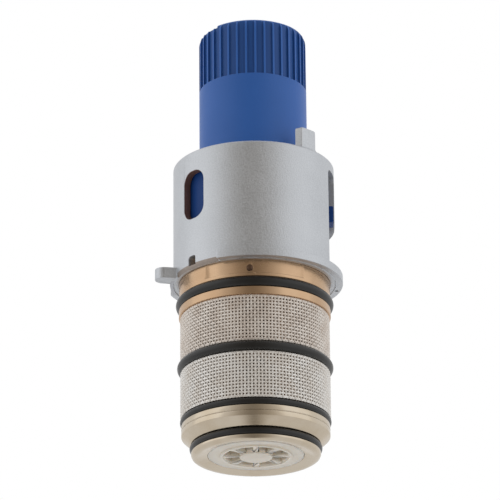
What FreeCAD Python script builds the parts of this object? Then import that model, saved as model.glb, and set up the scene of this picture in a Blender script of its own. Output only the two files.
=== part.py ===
import FreeCAD, Part
import math
import os

# Mixing cartridge for a wall shower valve, standing on its nose.
# Millimetres, +Z up the cartridge axis, origin at the centre of the nose face.
# Azimuths are in degrees, from the front (-Y) towards +X.

os.makedirs("parts", exist_ok=True)

V = FreeCAD.Vector
UP = V(0, 0, 1)

# Fits and clearances
RUN = 0.08            # radial clearance of a part that turns or slides in another
SEATED = 0.05         # gap between pieces that are screwed or pushed together
FREE = 0.3            # gap between faces of pieces that pass each other

# Main radii: each grows from the one inside it, so all move together
STEM_R = 8.4
THREAD_R = STEM_R + 0.1
NUT_R = THREAD_R + 2.6
SLIDE_R = STEM_R + 2.0
CHAMBER_R = SLIDE_R + 1.4
WAIST_R = CHAMBER_R + 1.4
FILTER_R = WAIST_R + 1.9
BASE_INSET = 0.15
BASE_R = FILTER_R - BASE_INSET
RIM_PROUD = 0.3
RIM_R = FILTER_R + RIM_PROUD
SLEEVE_R = RIM_R + 1.1

# Nose piece and outlet plug
NOSE_R = FILTER_R - 2.1
NOSE_LAND_H = 0.95
NOSE_EDGE = 0.25
NOSE_GROOVE_W = 1.8
NOSE_SEAL_D = 1.6
NOSE_SEAL_PROUD = 0.3
NOSE_STEP = 0.6
NOSE_STEP_H = 0.35
NOSE_CONE_H = 1.25
NOSE_BORE_R = SLIDE_R - 1.2
NOSE_THREAD_R = CHAMBER_R + 0.35
NOSE_THREAD_H = 2.55
DISH_DEPTH = 0.5
DISH_RIM_W = 1.4
DISH_SLOPE_W = 1.6
PLUG_R = NOSE_BORE_R + 0.45
PLUG_T = 2.7
PLUG_HUB_R = 3.2
PLUG_HUB_H = 3.9
PLUG_RING_R = PLUG_R - 2.45
PLUG_RING_W = 0.55
PLUG_RING_H = 0.3
PLUG_RIB_W = 1.2
PLUG_RIB_H = 0.2
PLUG_RIBS = 8
PLUG_PORT_W = PLUG_RING_R - PLUG_RING_W - PLUG_HUB_R - 0.45
PLUG_RIM_H = 1.0

# Outer lands, filters and seal grooves, from the nose up
BASE_H = 2.2
LOW_GROOVE_W = 1.5
LOW_SEAL_D = 1.45
LOW_SEAL_PROUD = 0.25
FILTER_WALL = 0.45
FILTER_RIDGE = 0.12
FILTER_H = 9.6
FILTER_RIM_H = 0.55
FILTER_COLUMNS = 36
FILTER_ROWS = 3
FILTER_BAR_W = 0.7
LAND_H = 0.7
MID_GROOVE_W = 2.1
MID_SEAL_D = 2.0
MID_SEAL_PROUD = 0.66
RIM_H = 1.6
COLLAR_GROOVE_W = 2.2
COLLAR_SEAL_D = 2.15
COLLAR_SEAL_PROUD = 0.6
COLLAR_H = 3.4
COLLAR_LIP_H = 0.7
COLLAR_FLAT_DEPTH = 0.35
COLLAR_FLAT_HALF = 38.3
STAKE_R = 1.0
STAKE_DEPTH = 0.3
STAKE_AZ = -5.0

# Inside of the valve body
CHAMBER_MARGIN = 0.25
PORT_W = 4.0
PORTS = 8
SEAT_MARGIN = 1.0
MIX_R = STEM_R + 0.6
MIX_H = 2.5
NECK_H = 7.3
NECK_GAP = 0.05

# Sleeve
SLEEVE_WALL = 1.6
SLEEVE_H = 25.3
SLEEVE_EDGE = 0.35
LIP_T = 1.6
FLANGE_R = SLEEVE_R + 1.5
FLANGE_T = 1.7
FLANGE_FROM = -25.0
FLANGE_TO = 253.0
FLANGE_LOW_R = SLEEVE_R + 0.7
FLANGE_LOW_TO = 281.0
LUG_AZ = -79.0
LUG_W = 3.7
LUG_TIP_R = SLEEVE_R + 4.0
LUG_H = 2.3
TAB_FROM = 34.7
TAB_TO = 51.5
TAB_H = 4.3
NOTCH_AZ = -49.6
NOTCH_W = 2.0
NOTCH_H = 1.7
WINDOW_AZ = -49.6
WINDOW_W = 5.7
WINDOW_H = 10.3
WINDOW_UP = 10.6
WINDOW_CORNER = 2.4
SLOT_FRONT = 6.3
SLOT_BACK = 10.0
SLOT_LOW_H = 10.3
SLOT_HIGH_H = 11.0
SLOT_CORNER = 1.0
SLOT_STEP_CORNER = 1.8
PINHOLE_R = 0.3
PINHOLE_AT = (SLEEVE_R + FLANGE_R) / 2 - 0.15
PINHOLE_AZ = 101.7
PINHOLE_DEPTH = 0.8

# Guide bush and its key
BUSH_GAP = 0.1
BUSH_H = 13.4
BUSH_ROOF = 1.7
BUSH_EDGE = 0.8
HEX_FLATS = 2 * STEM_R + 2.2
HEX_H = 4.5
HEX_UP = 2.5
KEY_W = 3.4
KEY_H = 3.5
KEY_UP = 5.0
KEY_PROUD = 1.4
KEY_BACK = 2.2

# Regulating nut
WASHER_T = 0.8
NUT_FLANGE_R = NUT_R + 2.3
NUT_TOP = 29.5
SPLINE_L = 12.3
SPLINE_DEPTH = 0.45
SPLINE_RIBS = 36
SPLINE_RIB_W = 0.5
SPLINE_AZ = 3.1
NUT_EDGE = 0.8
NUT_STEP_DEPTH = 0.75
NUT_STEP_FROM = -133.0
NUT_STEP_TO = -43.0
NUT_DISH_R = NUT_R - 3.1
NUT_DISH_DEPTH = 1.2
NUT_RIM_W = 1.1
SCREW_R = 2.1
SCREW_DEPTH = 8.0
NUT_ROOF = 5.0

# Spindle with its overload unit
THREAD_L = 18.0
SPINDLE_DROP = 11.0
SPINDLE_BORE_R = STEM_R - 2.8
SPINDLE_ROOF = 7.0
SPINDLE_SEAL_D = 1.3
SPINDLE_SEAL_UP = 5.0
CLIP_T = 1.0
CLIP_UP = 1.6
CLIP_DEEP = 0.6
CLIP_REACH = 1.3
PLUNGER_H = 8.0
PLUNGER_FLOOR = 2.2
PLUNGER_WALL = 0.6
OVERLOAD_WIRE = 1.1
OVERLOAD_PITCH = 3.4
PIN_R = 1.5
PIN_SINK = 0.8
PIN_IN = 6.0

# Control slide with the wax element
STROKE = 0.8
SEAT_GAP = 0.03
SLIDE_WALL = 1.4
SLIDE_SEAL_D = 1.1
WEB_H = 3.4
HUB_R = 5.2
WEB_PORT_OUT = SLIDE_R - 3.5
WEB_SPOKES = 4
WEB_SPOKE_W = 2.0
ELEMENT_R = 4.2
ELEMENT_TAIL = 12.6
ELEMENT_COLLAR_R = 5.2
ELEMENT_COLLAR_H = 2.6
ELEMENT_STEM_R = 3.0
ELEMENT_STEM_H = 7.4
PIN_SPARE = 2.6
ELEMENT_CLIP_T = 0.6
RETURN_WIRE = 1.0
RETURN_R = SLIDE_R - 2.7
RETURN_TURNS = 5.0

# Heights worked out from the sizes above
Z_NOSE_GROOVE = NOSE_LAND_H
Z_STEP = Z_NOSE_GROOVE + NOSE_GROOVE_W
Z_CONE = Z_STEP + NOSE_STEP_H
Z_BASE = Z_CONE + NOSE_CONE_H
Z_LOW_GROOVE = Z_BASE + BASE_H
Z_BODY = Z_LOW_GROOVE + LOW_GROOVE_W
Z_LOW_SEAT = Z_BODY + NOSE_THREAD_H
Z_MID_GROOVE = Z_BODY + FILTER_H + SEATED
Z_UPPER_FILTER = Z_MID_GROOVE + MID_GROOVE_W + SEATED
Z_RIM = Z_UPPER_FILTER + FILTER_H + SEATED
Z_HIGH_SEAT = Z_RIM - SEAT_MARGIN
Z_COLLAR_GROOVE = Z_RIM + RIM_H
Z_COLLAR = Z_COLLAR_GROOVE + COLLAR_GROOVE_W
Z_SLEEVE = Z_COLLAR + COLLAR_H
Z_NECK = Z_SLEEVE + NECK_H
Z_STEM_BORE = Z_HIGH_SEAT + MIX_H
Z_SLEEVE_TOP = Z_SLEEVE + SLEEVE_H
Z_LIP = Z_SLEEVE_TOP - LIP_T
Z_BUSH_TOP = Z_NECK + BUSH_H
Z_NUT = Z_BUSH_TOP + FREE
Z_NUT_FLANGE = Z_LIP - WASHER_T - FREE
Z_NUT_TOP = Z_SLEEVE_TOP + NUT_TOP
Z_SPLINE = Z_NUT_TOP - SPLINE_L
Z_HEX = Z_NECK + HEX_UP
Z_THREAD = Z_HEX + HEX_H
Z_SPINDLE = Z_NECK - SPINDLE_DROP
Z_SPINDLE_TOP = Z_THREAD + THREAD_L
Z_SPINDLE_ROOF = Z_SPINDLE_TOP - SPINDLE_ROOF
Z_CLIP = Z_SPINDLE + CLIP_UP
Z_PLUNGER = Z_CLIP + CLIP_T + SEATED
Z_PIN_TOP = Z_PLUNGER + PIN_SINK
Z_PLUG = DISH_DEPTH
Z_PLUG_TOP = Z_PLUG + PLUG_T

# The slide rests just under its upper seat, and the web carries the element
Z_SLIDE_TOP = Z_HIGH_SEAT - SEAT_GAP
Z_SLIDE = Z_LOW_SEAT + STROKE + SEAT_GAP
Z_WEB = (Z_MID_GROOVE + MID_GROOVE_W / 2) - WEB_H / 2 + STROKE / 2
Z_WEB_TOP = Z_WEB + WEB_H
Z_ELEMENT = Z_WEB - ELEMENT_TAIL
Z_STEM_TOP = Z_WEB_TOP + ELEMENT_COLLAR_H + ELEMENT_STEM_H
Z_PIN = Z_STEM_TOP - PIN_IN

SLEEVE_BORE_R = SLEEVE_R - SLEEVE_WALL
NECK_R = SLEEVE_BORE_R - NECK_GAP
BUSH_R = SLEEVE_BORE_R - BUSH_GAP


def at(r, azimuth, z):
    """Point at a radius, an azimuth and a height."""
    a = math.radians(azimuth)
    return V(r * math.sin(a), -r * math.cos(a), z)


def turned(points):
    """Solid turned about the axis from (radius, height) corners."""
    corners = [V(r, 0, z) for r, z in points]
    face = Part.Face(Part.makePolygon(corners + corners[:1]))
    return face.revolve(V(0, 0, 0), UP, 360)


def tube(r_out, r_in, z_low, z_high):
    """Plain ring between two radii and two heights."""
    return turned([(r_in, z_low), (r_out, z_low), (r_out, z_high), (r_in, z_high)])


def disc(radius, z_low, z_high):
    return Part.makeCylinder(radius, z_high - z_low, V(0, 0, z_low))


def sector(r_in, r_out, start, stop, z_low, z_high):
    """Part of a ring between two azimuths."""
    middle = (start + stop) / 2
    outer = Part.Arc(at(r_out, start, z_low), at(r_out, middle, z_low), at(r_out, stop, z_low))
    inner = Part.Arc(at(r_in, stop, z_low), at(r_in, middle, z_low), at(r_in, start, z_low))
    side_a = Part.LineSegment(at(r_out, stop, z_low), at(r_in, stop, z_low))
    side_b = Part.LineSegment(at(r_in, start, z_low), at(r_out, start, z_low))
    edges = [outer.toShape(), side_a.toShape(), inner.toShape(), side_b.toShape()]
    return Part.Face(Part.Wire(edges)).extrude(V(0, 0, z_high - z_low))


def rounded_face(corners):
    """Flat face from (point, corner radius) pairs, its corners rounded with tangent arcs."""
    edges = []
    joins = []
    count = len(corners)
    for i in range(count):
        point, radius = corners[i]
        back = (corners[i - 1][0] - point).normalize()
        ahead = (corners[(i + 1) % count][0] - point).normalize()
        half = back.getAngle(ahead) / 2
        reach = radius / math.tan(half)
        middle = point + (back + ahead).normalize() * radius * (1 / math.sin(half) - 1)
        joins.append((point + back * reach, middle, point + ahead * reach, radius))
    for i in range(count):
        start, middle, stop, radius = joins[i]
        if radius > 0:
            edges.append(Part.Arc(start, middle, stop).toShape())
        edges.append(Part.LineSegment(stop, joins[(i + 1) % count][0]).toShape())
    return Part.Face(Part.Wire(edges))


def side_core(azimuth, outline, r_from, r_to):
    """Prism pushed out along an azimuth, from (sideways, height, corner radius) rows."""
    out = at(1, azimuth, 0)
    sideways = at(1, azimuth + 90, 0)
    rows = [(out * r_from + sideways * u + V(0, 0, z), r) for u, z, r in outline]
    return rounded_face(rows).extrude(out * (r_to - r_from))


def ring_seal(r_out, section, z):
    """Round rubber ring by its outer radius, its section and its height."""
    return Part.makeTorus(r_out - section / 2, section / 2, V(0, 0, z), UP)


def hexagon(flats, z_low, z_high):
    corners = [at(flats / math.sqrt(3), 60 * i, z_low) for i in range(6)]
    return Part.Face(Part.makePolygon(corners + corners[:1])).extrude(V(0, 0, z_high - z_low))


def coil(mean_r, wire_d, pitch, z_low, z_high):
    """Compression spring, its wire between two heights."""
    helix = Part.makeHelix(pitch, z_high - z_low - wire_d, mean_r)
    helix.translate(V(0, 0, z_low + wire_d / 2))
    start = V(mean_r, 0, z_low + wire_d / 2)
    lead = V(0, 2 * math.pi * mean_r, pitch)
    section = Part.Wire(Part.makeCircle(wire_d / 2, start, lead))
    return Part.Wire(helix).makePipeShell([section], True, True)


def spaced(piece, count, first=0.0):
    """Copies of a cutter or a rib, spread evenly round the axis."""
    copies = []
    for i in range(count):
        copy = piece.copy()
        copy.rotate(V(0, 0, 0), UP, first + 360.0 * i / count)
        copies.append(copy)
    return copies


def nose_piece():
    """Turned brass nose: outlet, lower seat, and the lands of the two lowest seals."""
    nose_floor = NOSE_R + NOSE_SEAL_PROUD - NOSE_SEAL_D - SEATED
    low_floor = BASE_R + LOW_SEAL_PROUD - LOW_SEAL_D - SEATED
    dish_out = NOSE_R - DISH_RIM_W
    plug_seat = PLUG_R + SEATED
    return turned([
        (dish_out, 0), (NOSE_R - NOSE_EDGE, 0), (NOSE_R, NOSE_EDGE), (NOSE_R, Z_NOSE_GROOVE),
        (nose_floor, Z_NOSE_GROOVE), (nose_floor, Z_STEP), (NOSE_R + NOSE_STEP, Z_STEP),
        (NOSE_R + NOSE_STEP, Z_CONE), (BASE_R, Z_BASE), (BASE_R, Z_LOW_GROOVE),
        (low_floor, Z_LOW_GROOVE), (low_floor, Z_BODY), (NOSE_THREAD_R, Z_BODY),
        (NOSE_THREAD_R, Z_LOW_SEAT), (NOSE_BORE_R, Z_LOW_SEAT), (NOSE_BORE_R, Z_PLUG_TOP),
        (plug_seat, Z_PLUG_TOP), (plug_seat, DISH_DEPTH), (dish_out - DISH_SLOPE_W, DISH_DEPTH),
    ])


def outlet_plug():
    """Pale moulded plug with a hub, ribs and eight outlet ports; it carries the return spring."""
    port_in = PLUG_HUB_R + (PLUG_RING_R - PLUG_RING_W - PLUG_HUB_R - PLUG_PORT_W) / 2
    port_out = port_in + PLUG_PORT_W
    rim_out = RETURN_R - RETURN_WIRE / 2 - FREE / 2
    plug = disc(PLUG_R, Z_PLUG, Z_PLUG_TOP)
    plug = plug.fuse(tube(PLUG_RING_R, PLUG_RING_R - PLUG_RING_W, Z_PLUG - PLUG_RING_H, Z_PLUG))
    plug = plug.fuse(tube(rim_out, port_out, Z_PLUG_TOP, Z_PLUG_TOP + PLUG_RIM_H))
    block = Part.makeBox(PLUG_RING_R - PLUG_HUB_R, PLUG_RIB_W, PLUG_RIB_H,
                         V(PLUG_HUB_R - SEATED, -PLUG_RIB_W / 2, Z_PLUG - PLUG_RIB_H))
    for rib in spaced(block, PLUG_RIBS):
        plug = plug.fuse(rib)
    hub = disc(PLUG_HUB_R, 0, PLUG_HUB_H)
    gap = math.degrees(PLUG_RIB_W / 2 / (port_in + PLUG_PORT_W / 2))
    step = 360.0 / PLUG_RIBS
    port = sector(port_in, port_out, 90 + gap, 90 + step - gap, -1, Z_PLUG_TOP + PLUG_RIM_H + 1)
    return plug.fuse(hub).cut(Part.makeCompound(spaced(port, PLUG_RIBS))).removeSplitter()


def valve_body():
    """Turned brass body: filter waists, seal grooves, both inlet chambers and the slide's bore."""
    land_r = FILTER_R - FILTER_WALL - SEATED
    mid_floor = FILTER_R + MID_SEAL_PROUD - MID_SEAL_D - SEATED
    collar_floor = RIM_R + COLLAR_SEAL_PROUD - COLLAR_SEAL_D - SEATED
    mid_top = Z_MID_GROOVE + MID_GROOVE_W
    slide_bore = SLIDE_R + RUN
    thread = NOSE_THREAD_R + SEATED
    lower_roof = Z_MID_GROOVE - LAND_H
    upper_floor = mid_top + LAND_H
    body = turned([
        (thread, Z_BODY), (land_r, Z_BODY), (land_r, Z_BODY + LAND_H), (WAIST_R, Z_BODY + LAND_H),
        (WAIST_R, lower_roof), (land_r, lower_roof), (land_r, Z_MID_GROOVE),
        (mid_floor, Z_MID_GROOVE), (mid_floor, mid_top), (land_r, mid_top),
        (land_r, upper_floor), (WAIST_R, upper_floor), (WAIST_R, Z_RIM - LAND_H),
        (land_r, Z_RIM - LAND_H), (land_r, Z_RIM), (RIM_R, Z_RIM), (RIM_R, Z_COLLAR_GROOVE),
        (collar_floor, Z_COLLAR_GROOVE), (collar_floor, Z_COLLAR), (RIM_R, Z_COLLAR),
        (RIM_R, Z_SLEEVE), (NECK_R, Z_SLEEVE + RIM_R - NECK_R), (NECK_R, Z_NECK),
        (STEM_R + RUN, Z_NECK),
        (STEM_R + RUN, Z_STEM_BORE), (MIX_R, Z_STEM_BORE), (MIX_R, Z_HIGH_SEAT),
        (CHAMBER_R, Z_HIGH_SEAT), (CHAMBER_R, upper_floor), (slide_bore, upper_floor),
        (slide_bore, lower_roof), (CHAMBER_R, lower_roof),
        (CHAMBER_R, Z_LOW_SEAT + CHAMBER_MARGIN), (thread, Z_LOW_SEAT + CHAMBER_MARGIN),
    ])
    for side in (0, 180):
        body = body.cut(sector(RIM_R - COLLAR_FLAT_DEPTH, RIM_R + 1, side - COLLAR_FLAT_HALF,
                               side + COLLAR_FLAT_HALF, Z_COLLAR + COLLAR_LIP_H,
                               Z_SLEEVE + RIM_R - NECK_R))
    ports = []
    for floor, roof in ((Z_LOW_SEAT + LAND_H, lower_roof - CHAMBER_MARGIN),
                        (upper_floor + CHAMBER_MARGIN, Z_HIGH_SEAT - CHAMBER_MARGIN)):
        corner = PORT_W / 4
        outline = [(-PORT_W / 2, floor, corner), (PORT_W / 2, floor, corner),
                   (PORT_W / 2, roof, corner), (-PORT_W / 2, roof, corner)]
        port = side_core(0, outline, CHAMBER_R - 1, WAIST_R + 1)
        ports += spaced(port, PORTS)
    stake_z = (Z_COLLAR + COLLAR_LIP_H + Z_SLEEVE) / 2
    face_r = RIM_R - COLLAR_FLAT_DEPTH
    stake = Part.makeCone(STAKE_R, STAKE_R * 1.5, 2 * STAKE_DEPTH,
                          at(face_r - STAKE_DEPTH, STAKE_AZ, stake_z), at(1, STAKE_AZ, 0))
    return body.cut(Part.makeCompound(ports)).cut(stake)


def filter_screen(z_low):
    """Drawn steel screen: a thin wall with rims, ridges and an even grid of gaps."""
    inner = FILTER_R - FILTER_WALL
    z_high = z_low + FILTER_H
    pitch = (FILTER_H - 2 * FILTER_RIM_H) / FILTER_ROWS
    profile = [(inner, z_low), (FILTER_R, z_low)]
    for row in range(FILTER_ROWS + 1):
        middle = z_low + FILTER_RIM_H + row * pitch
        for step, proud in ((-0.5, 0), (-0.25, FILTER_RIDGE), (0.25, FILTER_RIDGE), (0.5, 0)):
            profile.append((FILTER_R + proud - FILTER_RIDGE, middle + step * FILTER_BAR_W))
    profile[1] = (FILTER_R - FILTER_RIDGE, z_low)
    profile += [(FILTER_R - FILTER_RIDGE, z_high), (inner, z_high)]
    wall = turned(profile)
    gap_angle = 360.0 / FILTER_COLUMNS - math.degrees(FILTER_BAR_W / FILTER_R)
    gaps = []
    for row in range(FILTER_ROWS):
        floor = z_low + FILTER_RIM_H + row * pitch + FILTER_BAR_W / 2
        gap = sector(inner - 1, FILTER_R + 1, -gap_angle / 2, gap_angle / 2,
                     floor, floor + pitch - FILTER_BAR_W)
        gaps += spaced(gap, FILTER_COLUMNS)
    return wall.cut(Part.makeCompound(gaps))


def housing_sleeve():
    """Satin cast sleeve with its flange, ear, stop tab, window and bayonet slot."""
    lip_r = NUT_R + RUN
    seat_r = RIM_R + SEATED
    shell = turned([
        (seat_r, Z_SLEEVE), (SLEEVE_R, Z_SLEEVE), (SLEEVE_R, Z_SLEEVE_TOP - SLEEVE_EDGE),
        (SLEEVE_R - SLEEVE_EDGE, Z_SLEEVE_TOP), (lip_r, Z_SLEEVE_TOP), (lip_r, Z_LIP),
        (SLEEVE_BORE_R, Z_LIP), (SLEEVE_BORE_R, Z_SLEEVE + seat_r - SLEEVE_BORE_R),
    ])
    in_wall = SLEEVE_R - SLEEVE_WALL / 2
    flange_top = Z_SLEEVE + FLANGE_T
    parts = [sector(in_wall, FLANGE_R, FLANGE_FROM, FLANGE_TO, Z_SLEEVE, flange_top),
             sector(in_wall, FLANGE_LOW_R, FLANGE_TO, FLANGE_LOW_TO, Z_SLEEVE, flange_top),
             sector(SLEEVE_BORE_R, SLEEVE_R - SLEEVE_EDGE, TAB_FROM, TAB_TO,
                    Z_SLEEVE_TOP - SLEEVE_EDGE, Z_SLEEVE_TOP + TAB_H),
             ear()]
    for part in parts:
        shell = shell.fuse(part)
    floor = Z_SLEEVE + WINDOW_UP
    roof = floor + WINDOW_H
    corner = WINDOW_CORNER
    window = [(-WINDOW_W / 2, floor, corner), (WINDOW_W / 2, floor, corner),
              (WINDOW_W / 2, roof, corner), (-WINDOW_W / 2, roof, corner)]
    shell = shell.cut(side_core(WINDOW_AZ, window, SLEEVE_BORE_R / 2, FLANGE_R))
    shell = shell.cut(side_core(90, slot_outline(flange_top), SLEEVE_BORE_R / 2, FLANGE_R + 1))
    corner = NOTCH_W / 4
    notch = [(-NOTCH_W / 2, Z_SLEEVE - 1, 0), (NOTCH_W / 2, Z_SLEEVE - 1, 0),
             (NOTCH_W / 2, Z_SLEEVE + NOTCH_H, corner), (-NOTCH_W / 2, Z_SLEEVE + NOTCH_H, corner)]
    shell = shell.cut(side_core(NOTCH_AZ, notch, SLEEVE_BORE_R / 2, FLANGE_R))
    pinhole = Part.makeCylinder(PINHOLE_R, PINHOLE_DEPTH, at(PINHOLE_AT, PINHOLE_AZ, Z_SLEEVE))
    return shell.cut(pinhole).removeSplitter()


def slot_outline(z_floor):
    """L-shaped side slot: a wide low bay, and a narrow high arm along its front edge."""
    z_step = z_floor + SLOT_LOW_H
    z_roof = z_step + SLOT_HIGH_H
    r = SLOT_CORNER
    return [(-SLOT_FRONT, z_floor, 0), (SLOT_BACK, z_floor, 0), (SLOT_BACK, z_step, r),
            (0, z_step, SLOT_STEP_CORNER), (0, z_roof, r), (-SLOT_FRONT, z_roof, r)]


def ear():
    """Round-ended ear that stands out of the flange and keys the sleeve in its valve."""
    centre_r = LUG_TIP_R - LUG_W / 2
    root = SLEEVE_R - SLEEVE_WALL / 2
    bar = Part.makeBox(centre_r - root, LUG_W, LUG_H, V(root, -LUG_W / 2, Z_SLEEVE))
    tip = Part.makeCylinder(LUG_W / 2, LUG_H, V(centre_r, 0, Z_SLEEVE))
    shape = bar.fuse(tip)
    shape.rotate(V(0, 0, 0), UP, LUG_AZ - 90)
    return shape


def guide_bush():
    """Blue bush that keys the spindle; its key locks into the sleeve's slot."""
    bush = turned([
        (0, Z_NECK), (BUSH_R, Z_NECK), (BUSH_R, Z_BUSH_TOP - BUSH_EDGE),
        (BUSH_R - BUSH_EDGE, Z_BUSH_TOP), (0, Z_BUSH_TOP),
    ])
    low = Z_NECK + KEY_UP
    outline = [(-KEY_BACK - KEY_W / 2, low, 0), (-KEY_BACK + KEY_W / 2, low, 0),
               (-KEY_BACK + KEY_W / 2, low + KEY_H, 0), (-KEY_BACK - KEY_W / 2, low + KEY_H, 0)]
    bush = bush.fuse(side_core(90, outline, BUSH_R - 1.5, BUSH_R + KEY_PROUD))
    bush = bush.cut(hexagon(HEX_FLATS + 2 * FREE, Z_NECK - 1, Z_BUSH_TOP - BUSH_ROOF))
    return bush.cut(disc(THREAD_R + FREE, Z_NECK, Z_BUSH_TOP + 1))


def slip_washer():
    return tube(NUT_FLANGE_R + FREE, NUT_R + FREE, Z_LIP - WASHER_T, Z_LIP)


def regulating_nut():
    """Blue splined nut: held under the sleeve's lip, threaded on the spindle inside."""
    bore = THREAD_R + RUN
    bore_top = Z_NUT_TOP - NUT_DISH_DEPTH - SCREW_DEPTH - NUT_ROOF
    step_top = Z_NUT_TOP - NUT_DISH_DEPTH
    nut = turned([
        (bore, Z_NUT), (NUT_FLANGE_R, Z_NUT), (NUT_FLANGE_R, Z_NUT_FLANGE),
        (NUT_R, Z_NUT_FLANGE), (NUT_R, Z_NUT_TOP - NUT_EDGE), (NUT_R - NUT_EDGE, Z_NUT_TOP),
        (NUT_DISH_R + NUT_RIM_W, Z_NUT_TOP), (NUT_DISH_R, step_top), (SCREW_R, step_top),
        (SCREW_R, step_top - SCREW_DEPTH), (0, step_top - SCREW_DEPTH), (0, bore_top),
        (bore, bore_top),
    ])
    groove = 360.0 / SPLINE_RIBS - math.degrees(SPLINE_RIB_W / NUT_R)
    cutter = sector(NUT_R - SPLINE_DEPTH, NUT_R + 1, -groove / 2, groove / 2,
                    Z_SPLINE, Z_NUT_TOP + 1)
    first = SPLINE_AZ + 180.0 / SPLINE_RIBS
    nut = nut.cut(Part.makeCompound(spaced(cutter, SPLINE_RIBS, first)))
    return nut.cut(sector(NUT_DISH_R - 1, NUT_R + 1, NUT_STEP_FROM, NUT_STEP_TO,
                          Z_NUT_TOP - NUT_STEP_DEPTH, Z_NUT_TOP + 1))


def spindle():
    """Brass spindle: keyed hexagon, threaded upper end, bored below for the overload unit."""
    seal_z = Z_SPINDLE + SPINDLE_SEAL_UP
    half = SPINDLE_SEAL_D / 2 + SEATED
    floor = STEM_R - SPINDLE_SEAL_D
    clip_r = SPINDLE_BORE_R + CLIP_DEEP
    clip_top = Z_CLIP + CLIP_T
    body = turned([
        (SPINDLE_BORE_R, Z_SPINDLE), (STEM_R, Z_SPINDLE), (STEM_R, seal_z - half),
        (floor, seal_z - half), (floor, seal_z + half), (STEM_R, seal_z + half),
        (STEM_R, Z_THREAD), (THREAD_R, Z_THREAD), (THREAD_R, Z_SPINDLE_TOP), (0, Z_SPINDLE_TOP),
        (0, Z_SPINDLE_ROOF), (SPINDLE_BORE_R, Z_SPINDLE_ROOF), (SPINDLE_BORE_R, clip_top),
        (clip_r, clip_top), (clip_r, Z_CLIP), (SPINDLE_BORE_R, Z_CLIP),
    ])
    key = hexagon(HEX_FLATS, Z_HEX, Z_THREAD).cut(disc(STEM_R - 1, Z_HEX - 1, Z_THREAD + 1))
    return body.fuse(key).removeSplitter()


def overload_clip():
    """Internal circlip under the plunger, open by a narrow gap."""
    inner = SPINDLE_BORE_R - CLIP_REACH
    outer = SPINDLE_BORE_R + CLIP_DEEP - SEATED
    return sector(inner, outer, 20, 340, Z_CLIP, Z_CLIP + CLIP_T - SEATED)


def overload_plunger():
    """Cup that the pin pushes; it yields upwards when the slide is already on its seat."""
    outer = SPINDLE_BORE_R - RUN
    inner = outer - PLUNGER_WALL
    top = Z_PLUNGER + PLUNGER_H
    floor = Z_PLUNGER + PLUNGER_FLOOR
    socket = PIN_R + SEATED
    return turned([
        (socket, Z_PLUNGER), (outer, Z_PLUNGER), (outer, top), (inner, top), (inner, floor),
        (0, floor), (0, Z_PIN_TOP), (socket, Z_PIN_TOP),
    ])


def overload_spring():
    mean_r = SPINDLE_BORE_R - RUN - PLUNGER_WALL - FREE - OVERLOAD_WIRE / 2
    low = Z_PLUNGER + PLUNGER_FLOOR + SEATED
    return coil(mean_r, OVERLOAD_WIRE, OVERLOAD_PITCH, low, Z_SPINDLE_ROOF - SEATED)


def element_pin():
    return disc(PIN_R, Z_PIN, Z_PIN_TOP)


def control_slide():
    """Slide that shares the two inlets: a sleeve between both seats, on a spoked web."""
    inner = SLIDE_R - SLIDE_WALL
    seal_z = Z_WEB + WEB_H / 2
    half = SLIDE_SEAL_D / 2 + SEATED
    floor = SLIDE_R - SLIDE_SEAL_D
    slide = turned([
        (inner, Z_SLIDE), (SLIDE_R, Z_SLIDE), (SLIDE_R, seal_z - half), (floor, seal_z - half),
        (floor, seal_z + half), (SLIDE_R, seal_z + half), (SLIDE_R, Z_SLIDE_TOP),
        (inner, Z_SLIDE_TOP), (inner, Z_WEB_TOP), (WEB_PORT_OUT, Z_WEB_TOP),
        (WEB_PORT_OUT, Z_WEB), (inner, Z_WEB),
    ])
    hub = tube(HUB_R, ELEMENT_R + SEATED, Z_WEB, Z_WEB_TOP)
    spoke = Part.makeBox(WEB_PORT_OUT - HUB_R + 1, WEB_SPOKE_W, WEB_H,
                         V(HUB_R - 0.5, -WEB_SPOKE_W / 2, Z_WEB))
    for piece in [hub] + spaced(spoke, WEB_SPOKES, 45):
        slide = slide.fuse(piece)
    return slide.removeSplitter()


def wax_element():
    """Sensing element: wax cup below, collar on the web, and the pin's guide above."""
    collar_top = Z_WEB_TOP + ELEMENT_COLLAR_H
    groove_top = Z_WEB - SEATED
    groove = groove_top - ELEMENT_CLIP_T
    floor = ELEMENT_R - 0.5
    bore = PIN_R + RUN
    edge = ELEMENT_R / 4
    return turned([
        (0, Z_ELEMENT), (ELEMENT_R - edge, Z_ELEMENT), (ELEMENT_R, Z_ELEMENT + edge),
        (ELEMENT_R, groove), (floor, groove), (floor, groove_top), (ELEMENT_R, groove_top),
        (ELEMENT_R, Z_WEB_TOP), (ELEMENT_COLLAR_R, Z_WEB_TOP), (ELEMENT_COLLAR_R, collar_top),
        (ELEMENT_STEM_R, collar_top), (ELEMENT_STEM_R, Z_STEM_TOP), (bore, Z_STEM_TOP),
        (bore, Z_PIN - PIN_SPARE), (0, Z_PIN - PIN_SPARE),
    ])


def element_clip():
    """Open clip that holds the element down on the web."""
    low = Z_WEB - SEATED - ELEMENT_CLIP_T
    return sector(ELEMENT_R - 0.4, HUB_R, 30, 330, low + 0.02, Z_WEB - SEATED - 0.02)


def return_spring():
    low = Z_PLUG_TOP + SEATED
    high = Z_WEB - SEATED
    pitch = (high - low - RETURN_WIRE) / RETURN_TURNS
    return coil(RETURN_R, RETURN_WIRE, pitch, low, high)


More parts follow.
